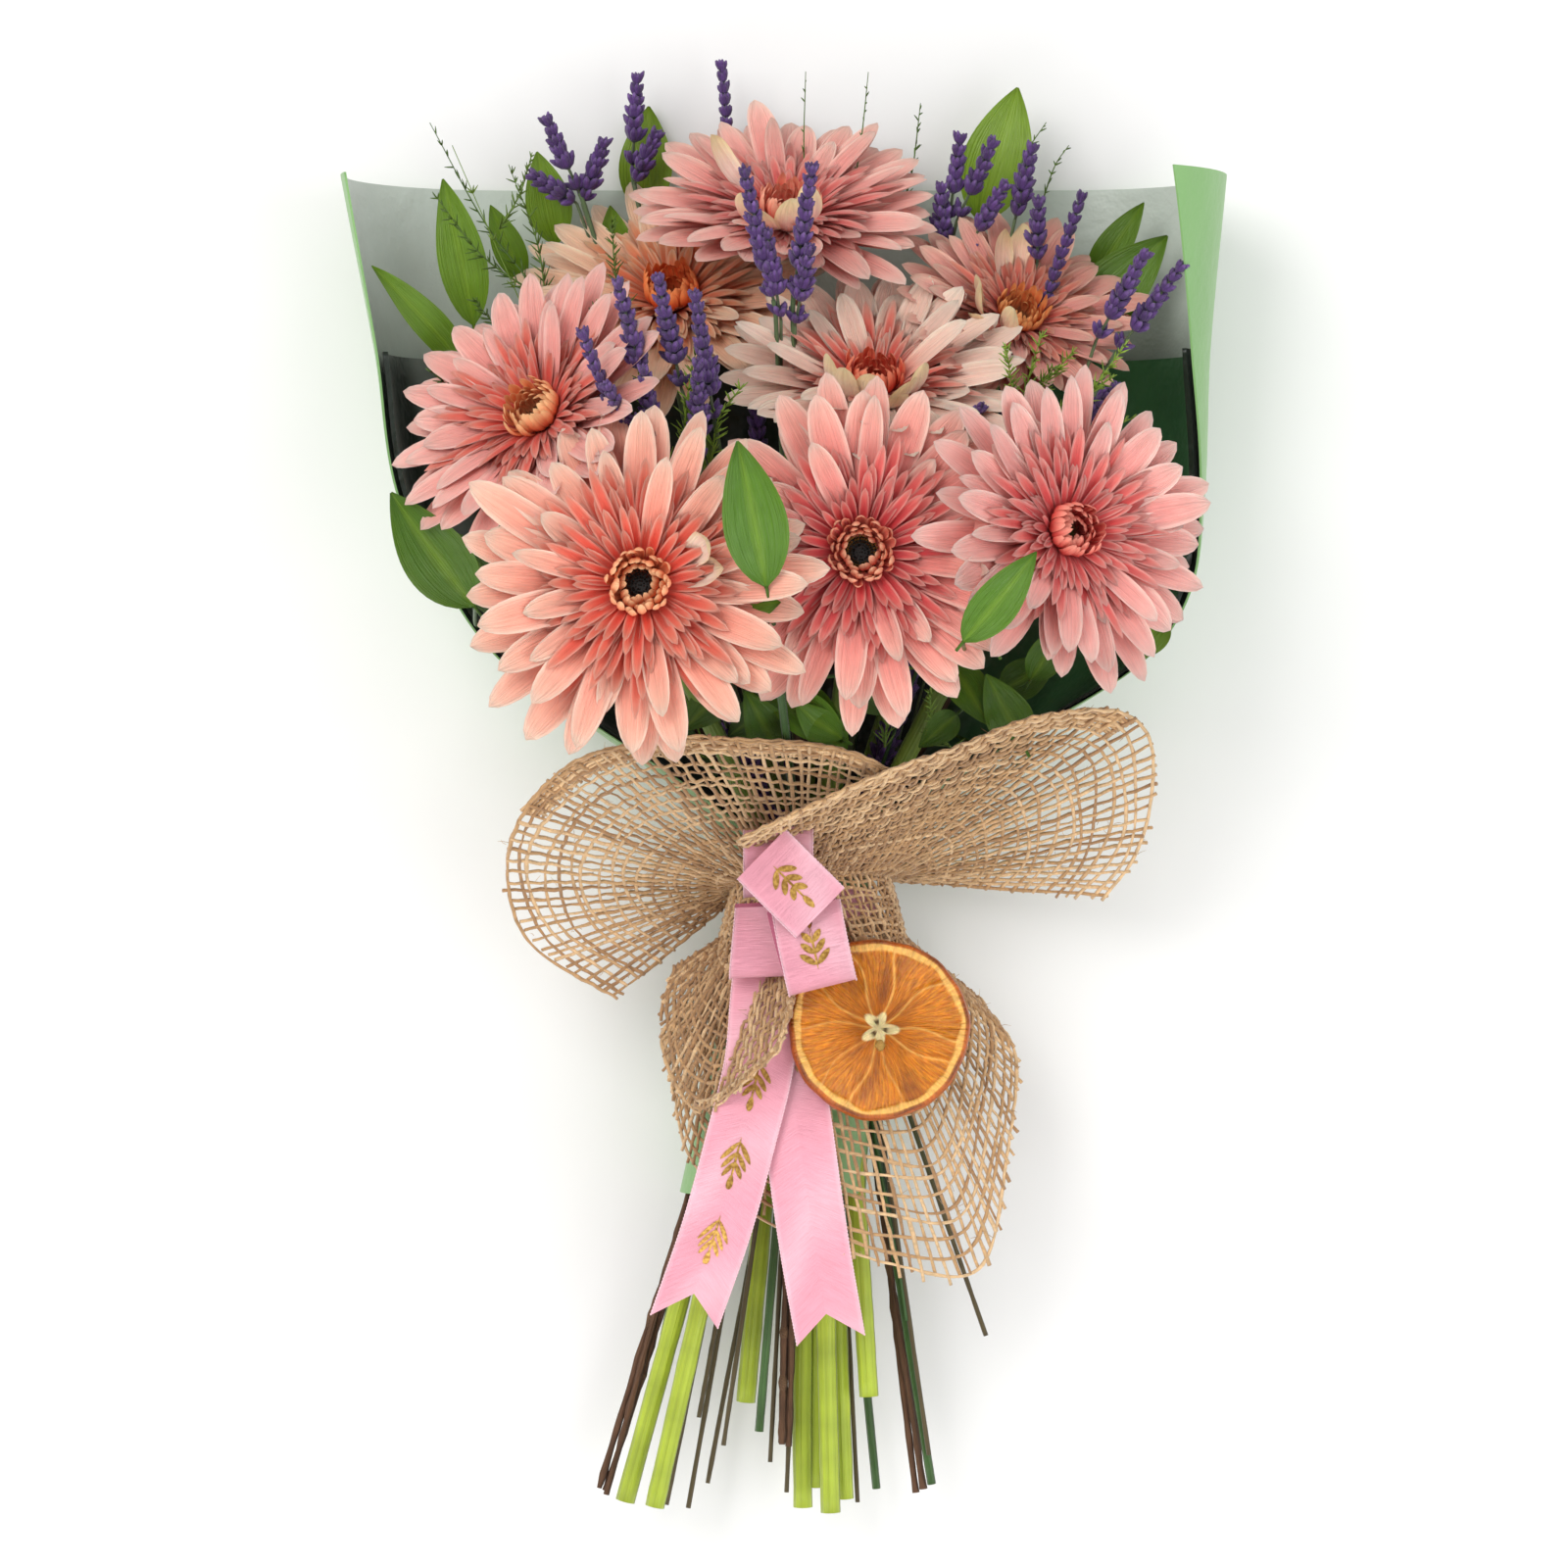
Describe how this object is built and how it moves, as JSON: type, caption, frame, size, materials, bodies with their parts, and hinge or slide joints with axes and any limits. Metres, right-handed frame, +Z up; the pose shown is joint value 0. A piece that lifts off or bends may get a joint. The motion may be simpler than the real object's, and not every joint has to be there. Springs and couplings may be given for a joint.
{
  "type": "bunch of gerberas",
  "caption": "Hand-tied bunch of pink gerberas with lavender and ruscus in a green sheet wrap, burlap and satin ribbon with a dried orange slice, lying on its back",
  "frame": {"origin": "middle of the bottom of the bounding box, on the surface the bunch lies on", "axes": "+Y runs from the cut stems to the flowers, +Z is up from the surface, towards the viewer, +X is to the right of the flowers seen from above"},
  "size_m": [0.3198, 0.5302, 0.1781],
  "materials": {
    "petals": "soft matt petals, salmon pink to cream",
    "flower_stems": "fleshy yellow-green stems with fine hairs",
    "lavender": "dried violet spikes on grey-green stems",
    "fern": "fine green plumes",
    "leaves": "smooth leathery green blades",
    "ruscus_stems": "smooth dark green",
    "bark": "rough brown bark",
    "binding_rubber": "tan natural rubber",
    "wrap_film": "matt pale green outside, pearly inside",
    "lining_film": "creased dark green sheet",
    "burlap": "open-weave natural jute with frayed edges",
    "satin": "pink satin with a stitched edge and gold foil sprigs",
    "dried_orange": "translucent dried fruit with a brown rind"
  },
  "bodies": {
    "root": {"burlap_collar": "burlap", "burlap_skirt": "burlap", "dry_twig_1": "bark", "dry_twig_2": "bark", "dry_twig_3": "bark", "fern_1": "fern", "fern_2": "fern", "gerbera_back_right_head": "petals", "gerbera_back_right_stem": "flower_stems", "gerbera_front_head": "petals", "gerbera_front_left_head": "petals", "gerbera_front_left_stem": "flower_stems", "gerbera_front_stem": "flower_stems", "gerbera_left_head": "petals", "gerbera_left_stem": "flower_stems", "gerbera_middle_head": "petals", "gerbera_middle_stem": "flower_stems", "gerbera_right_head": "petals", "gerbera_right_stem": "flower_stems", "gerbera_top_head": "petals", "gerbera_top_left_head": "petals", "gerbera_top_left_stem": "flower_stems", "gerbera_top_stem": "flower_stems", "lavender_1": "lavender", "lavender_10": "lavender", "lavender_2": "lavender", "lavender_3": "lavender", "lavender_4": "lavender", "lavender_5": "lavender", "lavender_6": "lavender", "lavender_7": "lavender", "lavender_8": "lavender", "lavender_9": "lavender", "leaf_01": "leaves", "leaf_02": "leaves", "leaf_03": "leaves", "leaf_04": "leaves", "leaf_05": "leaves", "leaf_06": "leaves", "leaf_07": "leaves", "leaf_08": "leaves", "leaf_09": "leaves", "leaf_10": "leaves", "leaf_11": "leaves", "leaf_12": "leaves", "orange_slice": "dried_orange", "ribbon_band": "satin", "ribbon_fold": "satin", "ribbon_loop_front": "satin", "ribbon_loop_left": "satin", "ribbon_loop_top": "satin", "ribbon_tail_left": "satin", "ribbon_tail_right": "satin", "ruscus_stem_1": "ruscus_stems", "ruscus_stem_2": "ruscus_stems", "ruscus_stem_3": "ruscus_stems", "ruscus_stem_4": "ruscus_stems", "stem_band": "binding_rubber", "wrap_lining": "lining_film", "wrap_sheet": "wrap_film"}
  },
  "joints": []
}
